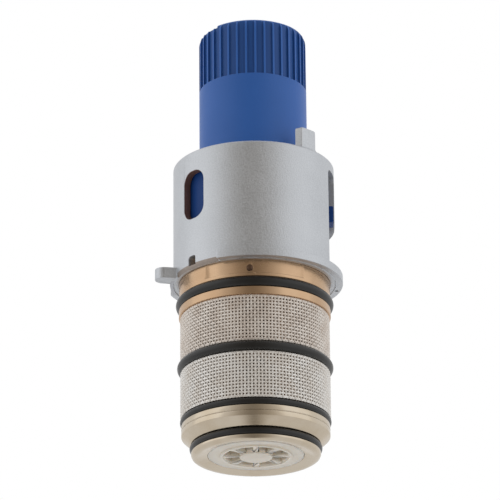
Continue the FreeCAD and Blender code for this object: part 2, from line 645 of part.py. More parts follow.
PIECES = {
    "housing_sleeve": housing_sleeve(),
    "slip_washer": slip_washer(),
    "guide_bush": guide_bush(),
    "valve_body": valve_body(),
    "nose_piece": nose_piece(),
    "outlet_plug": outlet_plug(),
    "collar_seal": ring_seal(RIM_R + COLLAR_SEAL_PROUD, COLLAR_SEAL_D,
                             Z_COLLAR_GROOVE + COLLAR_GROOVE_W / 2),
    "middle_seal": ring_seal(FILTER_R + MID_SEAL_PROUD, MID_SEAL_D,
                             Z_MID_GROOVE + MID_GROOVE_W / 2),
    "lower_seal": ring_seal(BASE_R + LOW_SEAL_PROUD, LOW_SEAL_D,
                            Z_LOW_GROOVE + LOW_GROOVE_W / 2),
    "nose_seal": ring_seal(NOSE_R + NOSE_SEAL_PROUD, NOSE_SEAL_D,
                           Z_NOSE_GROOVE + NOSE_GROOVE_W / 2),
    "upper_filter": filter_screen(Z_UPPER_FILTER),
    "lower_filter": filter_screen(Z_BODY),
    "return_spring": return_spring(),
    "regulating_nut": regulating_nut(),
    "spindle": spindle(),
    "spindle_seal": ring_seal(STEM_R + RUN / 4, SPINDLE_SEAL_D, Z_SPINDLE + SPINDLE_SEAL_UP),
    "overload_clip": overload_clip(),
    "overload_spring": overload_spring(),
    "overload_plunger": overload_plunger(),
    "element_pin": element_pin(),
    "control_slide": control_slide(),
    "slide_seal": ring_seal(SLIDE_R + RUN / 4, SLIDE_SEAL_D, Z_WEB + WEB_H / 2),
    "wax_element": wax_element(),
    "element_clip": element_clip(),
}

for name, shape in PIECES.items():
    if shape.ShapeType == "Compound" and len(shape.Solids) == 1:
        shape = shape.Solids[0]
    if not shape.isValid():
        raise ValueError("not a valid solid: " + name)
    shape.exportStep("parts/" + name + ".step")
    low, high = shape.BoundBox.ZMin, shape.BoundBox.ZMax
    print("%-18s %d solid, %8.1f mm3, z %6.2f to %6.2f"
          % (name, len(shape.Solids), shape.Volume, low, high))
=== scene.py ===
import math
import bpy
import bmesh
from mathutils import Matrix, Vector


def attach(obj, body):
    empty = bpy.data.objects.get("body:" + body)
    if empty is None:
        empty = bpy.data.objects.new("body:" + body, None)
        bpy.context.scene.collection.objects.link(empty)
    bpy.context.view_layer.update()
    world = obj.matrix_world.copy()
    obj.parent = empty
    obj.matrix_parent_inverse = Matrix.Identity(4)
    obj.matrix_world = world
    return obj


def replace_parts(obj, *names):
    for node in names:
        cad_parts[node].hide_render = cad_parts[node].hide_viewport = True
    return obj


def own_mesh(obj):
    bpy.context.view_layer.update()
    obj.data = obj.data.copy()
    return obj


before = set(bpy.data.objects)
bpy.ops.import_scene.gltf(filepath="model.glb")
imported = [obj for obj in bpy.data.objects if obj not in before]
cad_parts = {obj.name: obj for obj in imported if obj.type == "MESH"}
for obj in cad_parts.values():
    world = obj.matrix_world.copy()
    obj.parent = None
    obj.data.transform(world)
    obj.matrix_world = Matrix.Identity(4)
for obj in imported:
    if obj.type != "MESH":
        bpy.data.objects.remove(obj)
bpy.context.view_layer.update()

# Nose piece: the turned foot that screws into the valve body and holds the outlet
# plug. Pale brass, turned and bored in one chucking, so its lathe marks run round.
MM = 0.001


def solid(name, mesh):
    """A finished bmesh as an object at the origin, smooth and with its faces outward."""
    bmesh.ops.recalc_face_normals(mesh, faces=mesh.faces)
    for face in mesh.faces:
        face.smooth = True
    data = bpy.data.meshes.new(name)
    mesh.to_mesh(data)
    mesh.free()
    piece = bpy.data.objects.new(name, data)
    bpy.context.scene.collection.objects.link(piece)
    return piece


def turned(name, corners, steps=216):
    """Closed shape turned about the axis, from its (radius, height) corners in mm."""
    mesh = bmesh.new()
    edge = [mesh.verts.new((0, -r * MM, z * MM)) for r, z in corners]
    for a, b in zip(edge, edge[1:] + edge[:1]):
        if a.co.y or b.co.y:
            mesh.edges.new((a, b))
    bmesh.ops.spin(mesh, geom=mesh.verts[:] + mesh.edges[:], cent=(0, 0, 0), axis=(0, 0, 1),
                   angle=math.tau, steps=steps, use_merge=True)
    bmesh.ops.remove_doubles(mesh, verts=mesh.verts, dist=1e-7)
    return solid(name, mesh)


def ease(piece, width, angle=38):
    """Rounds the sharp edges a little, and keeps the flats looking flat."""
    round_off = piece.modifiers.new("eased edges", "BEVEL")
    round_off.width = width * MM
    round_off.segments = 2
    round_off.limit_method = "ANGLE"
    round_off.angle_limit = math.radians(angle)
    round_off.use_clamp_overlap = False
    even = piece.modifiers.new("even faces", "WEIGHTED_NORMAL")
    even.weight = 90


class Signal:
    """One output of a material, used in plain sums."""

    def __init__(self, finish, socket):
        self.finish, self.socket = finish, socket

    def sum(self, operation, first, second):
        return self.finish.node("ShaderNodeMath", {"operation": operation}, {0: first, 1: second})

    def __add__(self, other):
        return self.sum("ADD", self, other)

    def __radd__(self, other):
        return self.sum("ADD", other, self)

    def __sub__(self, other):
        return self.sum("SUBTRACT", self, other)

    def __rsub__(self, other):
        return self.sum("SUBTRACT", other, self)

    def __mul__(self, other):
        return self.sum("MULTIPLY", self, other)

    def __rmul__(self, other):
        return self.sum("MULTIPLY", other, self)

    def __pow__(self, other):
        return self.sum("POWER", self, other)


class Finish:
    """A material with its own maps, all worked out from the place on the piece."""

    def __init__(self, name, colour, metallic=0.0, rough=0.4):
        self.material = bpy.data.materials.new(name)
        self.material.use_nodes = True
        self.tree = self.material.node_tree
        self.surface = self.tree.nodes["Principled BSDF"]
        self.set("Base Color", (*colour, 1))
        self.set("Metallic", metallic)
        self.set("Roughness", rough)
        self.place = self.node("ShaderNodeTexCoord", output="Object")

    def node(self, kind, settings=(), sockets=(), output=0):
        made = self.tree.nodes.new(kind)
        for key, value in dict(settings).items():
            setattr(made, key, value)
        for key, value in dict(sockets).items():
            if isinstance(value, Signal):
                self.tree.links.new(value.socket, made.inputs[key])
            else:
                made.inputs[key].default_value = value
        return Signal(self, made.outputs[output])

    def set(self, socket, value):
        if isinstance(value, Signal):
            self.tree.links.new(value.socket, self.surface.inputs[socket])
        else:
            self.surface.inputs[socket].default_value = value

    def speckle(self, size, detail=2.0, where=None):
        """Soft noise whose blots are about this many mm across."""
        return self.node("ShaderNodeTexNoise", sockets={
            "Vector": where or self.place, "Scale": 1 / (size * MM), "Detail": detail})

    def between(self, low, high, value):
        """0 under low, 1 over high, and a smooth step between them."""
        return self.node("ShaderNodeMapRange", {"interpolation_type": "SMOOTHSTEP"},
                         {"Value": value, "From Min": low, "From Max": high})

    def blend(self, mask, first, second):
        """Colour that goes from the first to the second with the mask."""
        pair = [c if isinstance(c, Signal) else (*c, 1) for c in (first, second)]
        return self.node("ShaderNodeMix", {"data_type": "RGBA"},
                         {0: mask, 6: pair[0], 7: pair[1]}, output=2)

    def lathe_place(self):
        """Place as (radius, 0, height), so a pattern on it runs round the axis."""
        x, y, z = (self.node("ShaderNodeSeparateXYZ", sockets={0: self.place}, output=i)
                   for i in range(3))
        return self.node("ShaderNodeCombineXYZ", sockets={0: (x * x + y * y) ** 0.5, 2: z})

    def relief(self, height, depth, strength):
        """Raises and sinks the surface by the height, at most this many mm."""
        self.set("Normal", self.node("ShaderNodeBump", sockets={
            "Height": height, "Distance": depth * MM, "Strength": strength}))

    def onto(self, *pieces):
        for piece in pieces:
            piece.data.materials.clear()
            piece.data.materials.append(self.material)


def turned_brass(name, bright, deep, rough=0.24):
    """Turned brass: tool marks round the axis, and a faint tarnish in soft patches."""
    brass = Finish(name, bright, metallic=1.0, rough=rough)
    around = brass.lathe_place()
    marks = brass.speckle(0.22, 1.0, around)
    bands = brass.speckle(1.6, 1.0, around)
    tarnish = brass.between(0.35, 0.75, brass.speckle(6.0, 3.0))
    brass.set("Base Color", brass.blend(bands * 0.35 + tarnish * 0.45, bright, deep))
    brass.set("Roughness", marks * 0.08 + tarnish * 0.08 + (rough - 0.05))
    brass.relief(marks, 0.003, 0.3)
    return brass


NOSE_R, BASE_R, BASE_LOW, BASE_MARK = 13.0, 14.95, 4.35, 0.06
NOSE_GROOVE_R, NOSE_GROOVE_LOW, NOSE_GROOVE_TOP = 11.65, 1.05, 2.62
LOWER_GROOVE_R, LOWER_GROOVE_LOW, BODY_LOW = 13.7, 6.55, 8.05
SCREW_R, SCREW_TOP, OUTLET_R = 12.15, 10.6, 9.2
PLUG_SEAT_R, PLUG_FACE, PLUG_TOP = 9.7, 0.5, 3.2
nose = turned("nose_piece_turned", [
    (11.6, 0), (NOSE_R - 0.6, 0.02), (NOSE_R - 0.2, 0.25), (NOSE_R, 0.65),
    (NOSE_R, NOSE_GROOVE_LOW), (NOSE_GROOVE_R, NOSE_GROOVE_LOW),
    (NOSE_GROOVE_R, NOSE_GROOVE_TOP), (NOSE_R + 0.1, NOSE_GROOVE_TOP), (NOSE_R + 0.45, 2.95),
    (BASE_R, BASE_LOW), (BASE_R, 5.3), (BASE_R - BASE_MARK, 5.3 + BASE_MARK),
    (BASE_R - BASE_MARK, 5.46), (BASE_R, 5.46 + BASE_MARK), (BASE_R, LOWER_GROOVE_LOW),
    (LOWER_GROOVE_R, LOWER_GROOVE_LOW), (LOWER_GROOVE_R, BODY_LOW), (SCREW_R, BODY_LOW),
    (SCREW_R, SCREW_TOP), (OUTLET_R, SCREW_TOP), (OUTLET_R, PLUG_TOP), (PLUG_SEAT_R, PLUG_TOP),
    (PLUG_SEAT_R, PLUG_FACE), (10.0, PLUG_FACE)])
ease(nose, 0.07)
pale_brass = turned_brass("pale turned brass", (0.68, 0.60, 0.49), (0.54, 0.435, 0.30), 0.18)
pale_brass.onto(nose)
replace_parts(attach(nose, "valve"), "nose_piece")

# Outlet plug: the pale moulded disc in the nose, with a hub, ribs and eight ports that
# let the mixed water out. Acetal with a satin face, snapped in against its shoulder.
def at(r, azimuth, z):
    """Point in mm, its azimuth in degrees from the front (-Y) towards +X."""
    a = math.radians(azimuth)
    return Vector((r * math.sin(a), -r * math.cos(a), z)) * MM


def slab(name, corners, depth, azimuth, start, flat=False):
    """Plate pushed out along an azimuth, from (sideways, height, corner radius) rows.
    A flat one lies down instead: its rows are (outward, sideways, corner radius)."""
    mesh = bmesh.new()
    points = [mesh.verts.new((x * MM, y * MM, 0)) for x, y, r in corners]
    mesh.faces.new(points)
    for radius in sorted({r for x, y, r in corners if r}):
        picked = [v for v, row in zip(points, corners) if row[2] == radius]
        bmesh.ops.bevel(mesh, geom=picked, offset=radius * MM, affect="VERTICES", segments=10,
                        profile=0.5, material=-1)
    raised = bmesh.ops.extrude_face_region(mesh, geom=mesh.faces[:])["geom"]
    tops = [v for v in raised if isinstance(v, bmesh.types.BMVert)]
    bmesh.ops.translate(mesh, verts=tops, vec=(0, 0, depth * MM))
    out, aside, up = at(1, azimuth, 0) / MM, at(1, azimuth + 90, 0) / MM, Vector((0, 0, 1))
    axes = (out, aside, up) if flat else (aside, up, out)
    place = Matrix(axes).transposed().to_4x4()
    place.translation = up * start * MM if flat else out * start * MM
    bmesh.ops.transform(mesh, matrix=place, verts=mesh.verts)
    return solid(name, mesh)


def arc_block(name, r_in, r_out, start, stop, low, high, corner=0.0):
    """Part of a ring between two azimuths; a corner rounds its two upper ends."""
    mesh = bmesh.new()
    rows = ((r_in, low), (r_out, low), (r_out, high), (r_in, high))
    face = mesh.faces.new([mesh.verts.new(at(r, start, z)) for r, z in rows])
    sweep = math.radians(stop - start)
    bmesh.ops.spin(mesh, geom=[face, *face.edges, *face.verts], cent=(0, 0, 0), axis=(0, 0, 1),
                   angle=sweep, steps=max(4, round((stop - start) / 1.5)))
    if corner:
        ends = [at(1, start, 0), at(1, stop, 0)]
        picked = [e for e in mesh.edges if len(e.link_faces) == 2
                  and min(v.co.z for v in e.verts) > (high - 1e-3) * MM
                  and any(abs(v.co.xy.normalized().dot(end.xy.normalized()) - 1) < 1e-7
                          for end in ends for v in e.verts)
                  and abs(e.verts[0].co.xy.length - e.verts[1].co.xy.length) > 0.1 * MM]
        bmesh.ops.bevel(mesh, geom=picked, offset=corner * MM, affect="EDGES", segments=5,
                        profile=0.5, material=-1)
    return solid(name, mesh)


def copies(tool, count, first=0.0):
    """The same mesh repeated evenly round the axis."""
    mesh = bmesh.new()
    mesh.from_mesh(tool.data)
    bmesh.ops.rotate(mesh, verts=mesh.verts, cent=(0, 0, 0),
                     matrix=Matrix.Rotation(math.radians(first), 3, "Z"))
    bmesh.ops.spin(mesh, geom=mesh.verts[:] + mesh.edges[:] + mesh.faces[:], cent=(0, 0, 0),
                   axis=(0, 0, 1), angle=math.tau * (count - 1) / count, steps=count - 1,
                   use_duplicate=True)
    name = tool.name
    bpy.data.objects.remove(tool)
    return solid(name, mesh)


def carve(piece, operation, *tools):
    """Joins other meshes to a piece or cuts them out of it; they are used up."""
    for tool in tools:
        step = piece.modifiers.new(tool.name, "BOOLEAN")
        step.operation, step.solver, step.object = operation, "EXACT", tool
        step.material_mode = "TRANSFER"
    graph = bpy.context.evaluated_depsgraph_get()
    piece.data = bpy.data.meshes.new_from_object(piece.evaluated_get(graph))
    piece.modifiers.clear()
    for tool in tools:
        bpy.data.objects.remove(tool)
    return piece


HUB_R, HUB_TOP, PORT_IN, PORT_OUT, PORTS = 3.2, 3.9, 3.425, 6.425, 8
PLUG_RING_R, RING_WALL, RING_FACE, RIB_HALF = 7.2, 0.55, 0.2, 0.6
PLUG_R, SPIGOT_R, SPIGOT_TOP = 9.65, 7.05, 4.2
plug = turned("outlet_plug_moulded", [
    (0, 0), (HUB_R, 0), (HUB_R, PLUG_FACE), (PLUG_RING_R - RING_WALL, PLUG_FACE),
    (PLUG_RING_R - RING_WALL, RING_FACE), (PLUG_RING_R, RING_FACE), (PLUG_RING_R, PLUG_FACE),
    (PLUG_R, PLUG_FACE), (PLUG_R, PLUG_TOP), (SPIGOT_R, PLUG_TOP), (SPIGOT_R, SPIGOT_TOP),
    (PORT_OUT, SPIGOT_TOP), (PORT_OUT, PLUG_TOP), (HUB_R, PLUG_TOP), (HUB_R, HUB_TOP),
    (0, HUB_TOP)], steps=144)
rib = slab("ribs", [(HUB_R - 0.1, -RIB_HALF, 0), (PLUG_RING_R - 0.3, -RIB_HALF, 0),
                    (PLUG_RING_R - 0.3, RIB_HALF, 0), (HUB_R - 0.1, RIB_HALF, 0)],
           0.6, 90, 0.3, flat=True)
port = arc_block("ports", PORT_IN, PORT_OUT, 97, 128, -1, 6)
carve(plug, "UNION", copies(rib, PORTS))
carve(plug, "DIFFERENCE", copies(port, PORTS))
ease(plug, 0.08)
acetal = Finish("pale acetal", (0.52, 0.47, 0.37), rough=0.42)
acetal.set("Subsurface Weight", 0.7)
acetal.set("Subsurface Radius", (1.0, 0.85, 0.7))
acetal.set("Subsurface Scale", 0.0018)
cloud = acetal.speckle(2.5, 3.0)
acetal.set("Base Color", acetal.blend(cloud, (0.84, 0.79, 0.71), (0.72, 0.66, 0.57)))
acetal.relief(acetal.speckle(0.12, 2.0), 0.006, 0.4)
acetal.onto(plug)
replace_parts(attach(plug, "valve"), "outlet_plug")

# Valve body: the turned brass core with both inlet chambers, the seal grooves and the
# collar that meets the sleeve. Two flats are milled on the collar, and one is staked.
WAIST_R, LAND_R, RIM_R, NECK_R = 13.2, 14.5, 15.4, 14.85
LOW_WAIST_LOW, LOW_WAIST_TOP, HIGH_WAIST_LOW, HIGH_WAIST_TOP = 8.75, 17.0, 20.5, 28.8
MIDDLE_GROOVE_R, MIDDLE_GROOVE_LOW, MIDDLE_GROOVE_TOP = 13.71, 17.7, 19.8
COLLAR_GROOVE_R, COLLAR_GROOVE_LOW, COLLAR_GROOVE_TOP = 13.8, 31.1, 33.3
RIM_LOW, COLLAR_TOP, NECK_LOW, NECK_TOP = 29.5, 36.7, 37.25, 44.0
STEM_BORE_R, STEM_BORE_LOW, WELL_R, WELL_LOW = 8.48, 31.0, 9.0, 28.5
CHAMBER_R, SLIDE_BORE_R, THREAD_R, THREAD_TOP = 11.8, 10.48, 12.2, 10.85
body = turned("valve_body_turned", [
    (THREAD_R, BODY_LOW), (LAND_R, BODY_LOW), (LAND_R, LOW_WAIST_LOW), (WAIST_R, LOW_WAIST_LOW),
    (WAIST_R, LOW_WAIST_TOP), (LAND_R, LOW_WAIST_TOP), (LAND_R, MIDDLE_GROOVE_LOW),
    (MIDDLE_GROOVE_R, MIDDLE_GROOVE_LOW), (MIDDLE_GROOVE_R, MIDDLE_GROOVE_TOP),
    (LAND_R, MIDDLE_GROOVE_TOP), (LAND_R, HIGH_WAIST_LOW), (WAIST_R, HIGH_WAIST_LOW),
    (WAIST_R, HIGH_WAIST_TOP), (LAND_R, HIGH_WAIST_TOP), (LAND_R, RIM_LOW), (RIM_R, RIM_LOW),
    (RIM_R, COLLAR_GROOVE_LOW), (COLLAR_GROOVE_R, COLLAR_GROOVE_LOW),
    (COLLAR_GROOVE_R, COLLAR_GROOVE_TOP), (RIM_R - 0.15, COLLAR_GROOVE_TOP),
    (RIM_R, COLLAR_TOP), (NECK_R, NECK_LOW), (NECK_R, NECK_TOP), (STEM_BORE_R, NECK_TOP),
    (STEM_BORE_R, STEM_BORE_LOW), (WELL_R, STEM_BORE_LOW), (WELL_R, WELL_LOW),
    (CHAMBER_R, WELL_LOW), (CHAMBER_R, HIGH_WAIST_LOW), (SLIDE_BORE_R, HIGH_WAIST_LOW),
    (SLIDE_BORE_R, LOW_WAIST_TOP), (CHAMBER_R, LOW_WAIST_TOP), (CHAMBER_R, THREAD_TOP),
    (THREAD_R, THREAD_TOP)])
FLAT_DEPTH, FLAT_LOW, FLAT_MIDDLE, FLAT_TOP = 0.35, 34.0, 35.35, 37.4
FLAT_END, FLAT_TIP, RAMP, LEAN = 36.8, 42.0, 0.085, 0.12
flats = arc_block("flats", RIM_R - FLAT_DEPTH, RIM_R + 1, -FLAT_TIP, FLAT_TIP, FLAT_LOW, FLAT_TOP)
for corner in flats.data.vertices:
    turn = abs(math.degrees(math.atan2(corner.co.x, -corner.co.y)))
    if corner.co.xy.length < RIM_R * MM:
        lift = max(turn - FLAT_END, 0) * RAMP + (corner.co.z / MM - FLAT_MIDDLE) * LEAN
        corner.co += at(lift, math.copysign(turn, corner.co.x), 0)
port_rows = []
for sill, roof in ((11.3, 16.75), (20.75, 28.25)):
    row = slab("port row", [(-2, sill, 1), (2, sill, 1), (2, roof, 1), (-2, roof, 1)],
               3.4, 0, 10.8)
    port_rows.append(copies(row, 8))
STAKE_AZ, STAKE_Z, STAKE_TIP, STAKE_WIDE, STAKE_LONG = -3.6, 34.95, 0.3, 1.2, 0.7
stake_mesh = bmesh.new()
bmesh.ops.create_cone(stake_mesh, cap_ends=True, segments=24, radius1=STAKE_TIP * MM,
                      radius2=STAKE_WIDE * MM, depth=STAKE_LONG * MM)
stand = at(1, STAKE_AZ, 0).to_track_quat("Z", "Y").to_matrix().to_4x4()
stand.translation = at(RIM_R - FLAT_DEPTH, STAKE_AZ, STAKE_Z)
bmesh.ops.transform(stake_mesh, matrix=stand, verts=stake_mesh.verts)
stake = solid("stake", stake_mesh)
# The punch mark's dark brown is painted shade for the shadow inside the dimple.
dimple_shade = Finish("punch mark painted shade", (0.17, 0.10, 0.065), metallic=0.8, rough=0.45)
dimple_shade.set("Base Color", dimple_shade.blend(dimple_shade.speckle(0.4, 2.0), (0.11, 0.065, 0.04),
                                    (0.20, 0.12, 0.08)))
dimple_shade.relief(dimple_shade.speckle(0.15, 2.0), 0.02, 0.4)
dimple_shade.onto(stake)
brass = turned_brass("turned brass", (0.64, 0.44, 0.28), (0.50, 0.315, 0.18))
brass.onto(body)
carve(body, "DIFFERENCE", copies(flats, 2), *port_rows, stake)
ease(body, 0.08)
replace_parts(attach(body, "valve"), "valve_body")

# Seals: four black rubber rings rolled into their grooves and greased, which part the
# hot, the cold and the mixed water inside the wall valve.
rubber = Finish("greased rubber", (0.014, 0.013, 0.012), rough=0.33)
rubber.set("Specular IOR Level", 0.5)
grease = rubber.speckle(1.8, 2.0)
rubber.set("Base Color", rubber.blend(grease, (0.007, 0.0065, 0.006), (0.014, 0.013, 0.012)))
rubber.set("Roughness", grease * 0.16 + 0.24)
rubber.relief(rubber.speckle(0.25, 2.0), 0.01, 0.35)


def ring_seal(name, r_out, section, z, replaced):
    """Round rubber ring by its outer radius, its section and its height."""
    mesh = bmesh.new()
    made = bmesh.ops.create_circle(mesh, segments=24, radius=section / 2 * MM)["verts"]
    bmesh.ops.rotate(mesh, verts=made, cent=(0, 0, 0), matrix=Matrix.Rotation(math.pi / 2, 3, "Y"))
    bmesh.ops.translate(mesh, verts=made, vec=at(r_out - section / 2, 0, z))
    bmesh.ops.spin(mesh, geom=mesh.verts[:] + mesh.edges[:], cent=(0, 0, 0), axis=(0, 0, 1),
                   angle=math.tau, steps=180, use_merge=True)
    ring = solid(name, mesh)
    rubber.onto(ring)
    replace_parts(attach(ring, "valve"), replaced)


ring_seal("collar_ring", 16.0, 2.15, 32.2, "collar_seal")
ring_seal("middle_ring", 15.76, 2.0, 18.75, "middle_seal")
ring_seal("lower_ring", 15.2, 1.45, 7.3, "lower_seal")
ring_seal("nose_ring", 13.3, 1.55, 1.85, "nose_seal")

# Filters: two tubes of woven steel wire that keep grit out of the inlets. The wire is
# drawn and bright, woven one over one, and each tube is closed by a soldered seam.
FILTER_MID, WIRE, WAVE, WIRES, ROWS = 14.84, 0.43, 0.11, 136, 14
BAND_IN, BAND_OUT, BAND, SEAM_R, SEAM_HALF = 14.66, 15.0, 0.25, 14.72, 0.1


def drawn_wire(name, bright, dull):
    """Drawn steel wire, with duller patches where the lime and the hand have been."""
    wire = Finish(name, bright, metallic=0.6, rough=0.4)
    worn = wire.speckle(3.0, 3.0)
    wire.set("Base Color", wire.blend(wire.between(0.3, 0.7, worn), bright, dull))
    wire.set("Roughness", worn * 0.2 + 0.34)
    return wire


def woven_tube(name, low, high, wire, replaced):
    """Hoops and uprights that pass over and under each other, with a rim at each end."""
    mesh = bmesh.new()
    pitch = (high - low) / ROWS
    upright = Matrix.Rotation(math.pi / 2, 3, "Y")
    for row in range(ROWS):
        made = bmesh.ops.create_circle(mesh, segments=6, radius=WIRE / 2 * MM)["verts"]
        bmesh.ops.rotate(mesh, verts=made, cent=(0, 0, 0), matrix=upright)
        bmesh.ops.translate(mesh, verts=made, vec=at(FILTER_MID, 0, low + pitch * (row + 0.5)))
        loop = list({e for v in made for e in v.link_edges})
        bmesh.ops.spin(mesh, geom=made + loop, cent=(0, 0, 0), axis=(0, 0, 1), angle=math.tau,
                       steps=WIRES, use_merge=True)
    for v in mesh.verts:
        step = round(math.atan2(v.co.x, -v.co.y) / math.tau * WIRES)
        row = int((v.co.z / MM - low) / pitch)
        shift = WAVE if (step + row) % 2 else -WAVE
        v.co += at(shift, step * 360 / WIRES, 0)
    heights = [low] + [low + pitch * (row + 0.5) for row in range(ROWS)] + [high]
    for first in (0, 1):
        sway = [0] + [WAVE if (first + row) % 2 == 0 else -WAVE for row in range(ROWS)] + [0]
        made = bmesh.ops.create_circle(mesh, cap_ends=True, segments=6, radius=WIRE / 2 * MM)
        strand = made["verts"]
        bmesh.ops.translate(mesh, verts=strand, vec=at(FILTER_MID, 0, low))
        cap = list(strand[0].link_faces)
        parts = set(strand)
        for k in range(1, len(heights)):
            grown = bmesh.ops.extrude_face_region(mesh, geom=cap)["geom"]
            cap = [f for f in grown if isinstance(f, bmesh.types.BMFace)]
            tops = [v for v in grown if isinstance(v, bmesh.types.BMVert)]
            bmesh.ops.translate(mesh, verts=tops, vec=at(sway[k] - sway[k - 1], 0,
                                                         heights[k] - heights[k - 1]))
            parts |= set(tops)
        spun = list(parts)
        spun += list({e for v in parts for e in v.link_edges})
        spun += list({f for v in parts for f in v.link_faces})
        turn = Matrix.Rotation(math.tau / WIRES * first, 3, "Z")
        bmesh.ops.rotate(mesh, verts=list(parts), cent=(0, 0, 0), matrix=turn)
        half = WIRES // 2
        bmesh.ops.spin(mesh, geom=spun, cent=(0, 0, 0), axis=(0, 0, 1), steps=half - 1,
                       angle=math.tau * (half - 1) / half, use_duplicate=True)
    tube = solid(name, mesh)
    rims = [turned("rim", [(BAND_IN, z), (BAND_OUT, z), (BAND_OUT, z + BAND),
                           (BAND_IN, z + BAND)], steps=120)
            for z in (low, high - BAND)]
    seam = slab("seam", [(-SEAM_HALF, low, 0), (SEAM_HALF, low, 0), (SEAM_HALF, high, 0),
                         (-SEAM_HALF, high, 0)], 0.2, 0.5, SEAM_R)
    joined = bmesh.new()
    for part in (tube, seam, *rims):
        joined.from_mesh(part.data)
        bpy.data.objects.remove(part)
    tube = solid(name, joined)
    wire.onto(tube)
    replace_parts(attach(tube, "valve"), replaced)


warm_wire = drawn_wire("tinted steel wire", (0.93, 0.87, 0.81), (0.80, 0.72, 0.65))
pale_wire = drawn_wire("drawn steel wire", (0.96, 0.94, 0.91), (0.88, 0.84, 0.79))
woven_tube("upper_mesh", 19.85, 29.45, warm_wire, "upper_filter")
woven_tube("lower_mesh", 8.05, 17.65, pale_wire, "lower_filter")

# Sleeve: the grey casting round the nut, with its flange, ear and stop tab. Satin, finely
# blasted, with a punched window, a bayonet slot and a smooth front.
SLEEVE_R, SLEEVE_LOW, SLEEVE_TOP, SLEEVE_EDGE = 16.5, 36.7, 62.0, 0.35
SEAT_R, BORE_R, BORE_LOW, LIP_R, LIP_LOW = 15.45, 14.9, 37.25, 11.18, 60.4
FLANGE_ROOT_R, FLANGE_R, FLANGE_TOP = 15.7, 18.0, SLEEVE_LOW + 1.7
EAR_AZ, EAR_OUT, EAR_HALF, EAR_ROUND, EAR_THICK = -79.0, 20.5, 1.85, 1.849, 2.3
sleeve = turned("housing_sleeve_cast", [
    (SEAT_R, SLEEVE_LOW), (SLEEVE_R, SLEEVE_LOW), (SLEEVE_R, SLEEVE_TOP - SLEEVE_EDGE),
    (SLEEVE_R - SLEEVE_EDGE, SLEEVE_TOP), (LIP_R, SLEEVE_TOP), (LIP_R, LIP_LOW),
    (BORE_R, LIP_LOW), (BORE_R, BORE_LOW)])
ear = slab("ear", [(FLANGE_ROOT_R, -EAR_HALF, 0), (EAR_OUT, -EAR_HALF, EAR_ROUND),
                   (EAR_OUT, EAR_HALF, EAR_ROUND), (FLANGE_ROOT_R, EAR_HALF, 0)],
           EAR_THICK, EAR_AZ, SLEEVE_LOW, flat=True)
flange = arc_block("flange", FLANGE_ROOT_R, FLANGE_R, -25.0, 253.0, SLEEVE_LOW, FLANGE_TOP)
low_rim = arc_block("low flange", FLANGE_ROOT_R, 17.2, 252.0, 281.0, SLEEVE_LOW, FLANGE_TOP)


def darker_cast_face(name, colour, dark, bright, metallic, rough, blot=0.5, detail=2.0):
    """A darker face of the casting, a little blotched, with some tooth, mostly for painted shade.
    """
    face = Finish(name, colour, metallic=metallic, rough=rough)
    face.set("Base Color", face.blend(face.speckle(blot, detail), dark, bright))
    face.relief(face.speckle(0.2, 2.0), 0.02, 0.5)
    return face


cast = Finish("blasted satin casting", (0.60, 0.62, 0.64), metallic=0.85, rough=0.44)
cast.onto(sleeve)
# The low flange is given a slightly darker, bluer grey than the rest of the casting.
darker_rim = darker_cast_face("darker low flange rim", (0.48, 0.49, 0.52), (0.43, 0.44, 0.47),
                  (0.55, 0.56, 0.60), 0.85, 0.4, blot=0.3, detail=3.0)
darker_rim.onto(low_rim)
TAB_IN, TAB_MID, TAB_OUT, TAB_LOW, TAB_TOP = 14.9, 15.5, 16.15, 61.6, 66.3
SLANT_AZ, SLANT = 40.0, 0.45
stop = arc_block("stop tab", TAB_IN, TAB_OUT, 34.7, 51.5, TAB_LOW, TAB_TOP, corner=0.5)
for corner in stop.data.vertices:
    turn = SLANT_AZ - math.degrees(math.atan2(corner.co.x, -corner.co.y))
    if turn > 0 and corner.co.xy.length > TAB_MID * MM:
        corner.co.xy = at(corner.co.xy.length / MM, SLANT_AZ - turn * SLANT, 0).xy
carve(sleeve, "UNION", flange, low_rim, stop, ear)
WINDOW_AZ, WINDOW_HALF, WINDOW_LOW, WINDOW_TOP, WINDOW_ROUND = -48.2, 2.9, 47.3, 57.6, 2.4
window = slab("window", [(-WINDOW_HALF, WINDOW_LOW, WINDOW_ROUND),
                         (WINDOW_HALF, WINDOW_LOW, WINDOW_ROUND),
                         (WINDOW_HALF, WINDOW_TOP, WINDOW_ROUND),
                         (-WINDOW_HALF, WINDOW_TOP, WINDOW_ROUND)], 10, WINDOW_AZ, 8)
# The window's side walls are dark brown: painted shade and a painted reflection of the brass.
window_wall_shade_reflection = darker_cast_face("window wall painted shade and reflection", (0.30, 0.19, 0.15), (0.22, 0.115, 0.085),
                    (0.34, 0.19, 0.145), 0.3, 0.45)
window_wall_shade_reflection.onto(window)
SLOT_BACK, SLOT_FRONT, SLOT_STEP, SLOT_TOP = -6.3, 10, 48.7, 59.7
slot = slab("slot", [(SLOT_BACK, FLANGE_TOP, 0), (SLOT_FRONT, FLANGE_TOP, 0),
                     (SLOT_FRONT, SLOT_STEP, 1.0), (0, SLOT_STEP, 1.8), (0, SLOT_TOP, 1.0),
                     (SLOT_BACK, SLOT_TOP, 1.0)], 12, 90, 8)
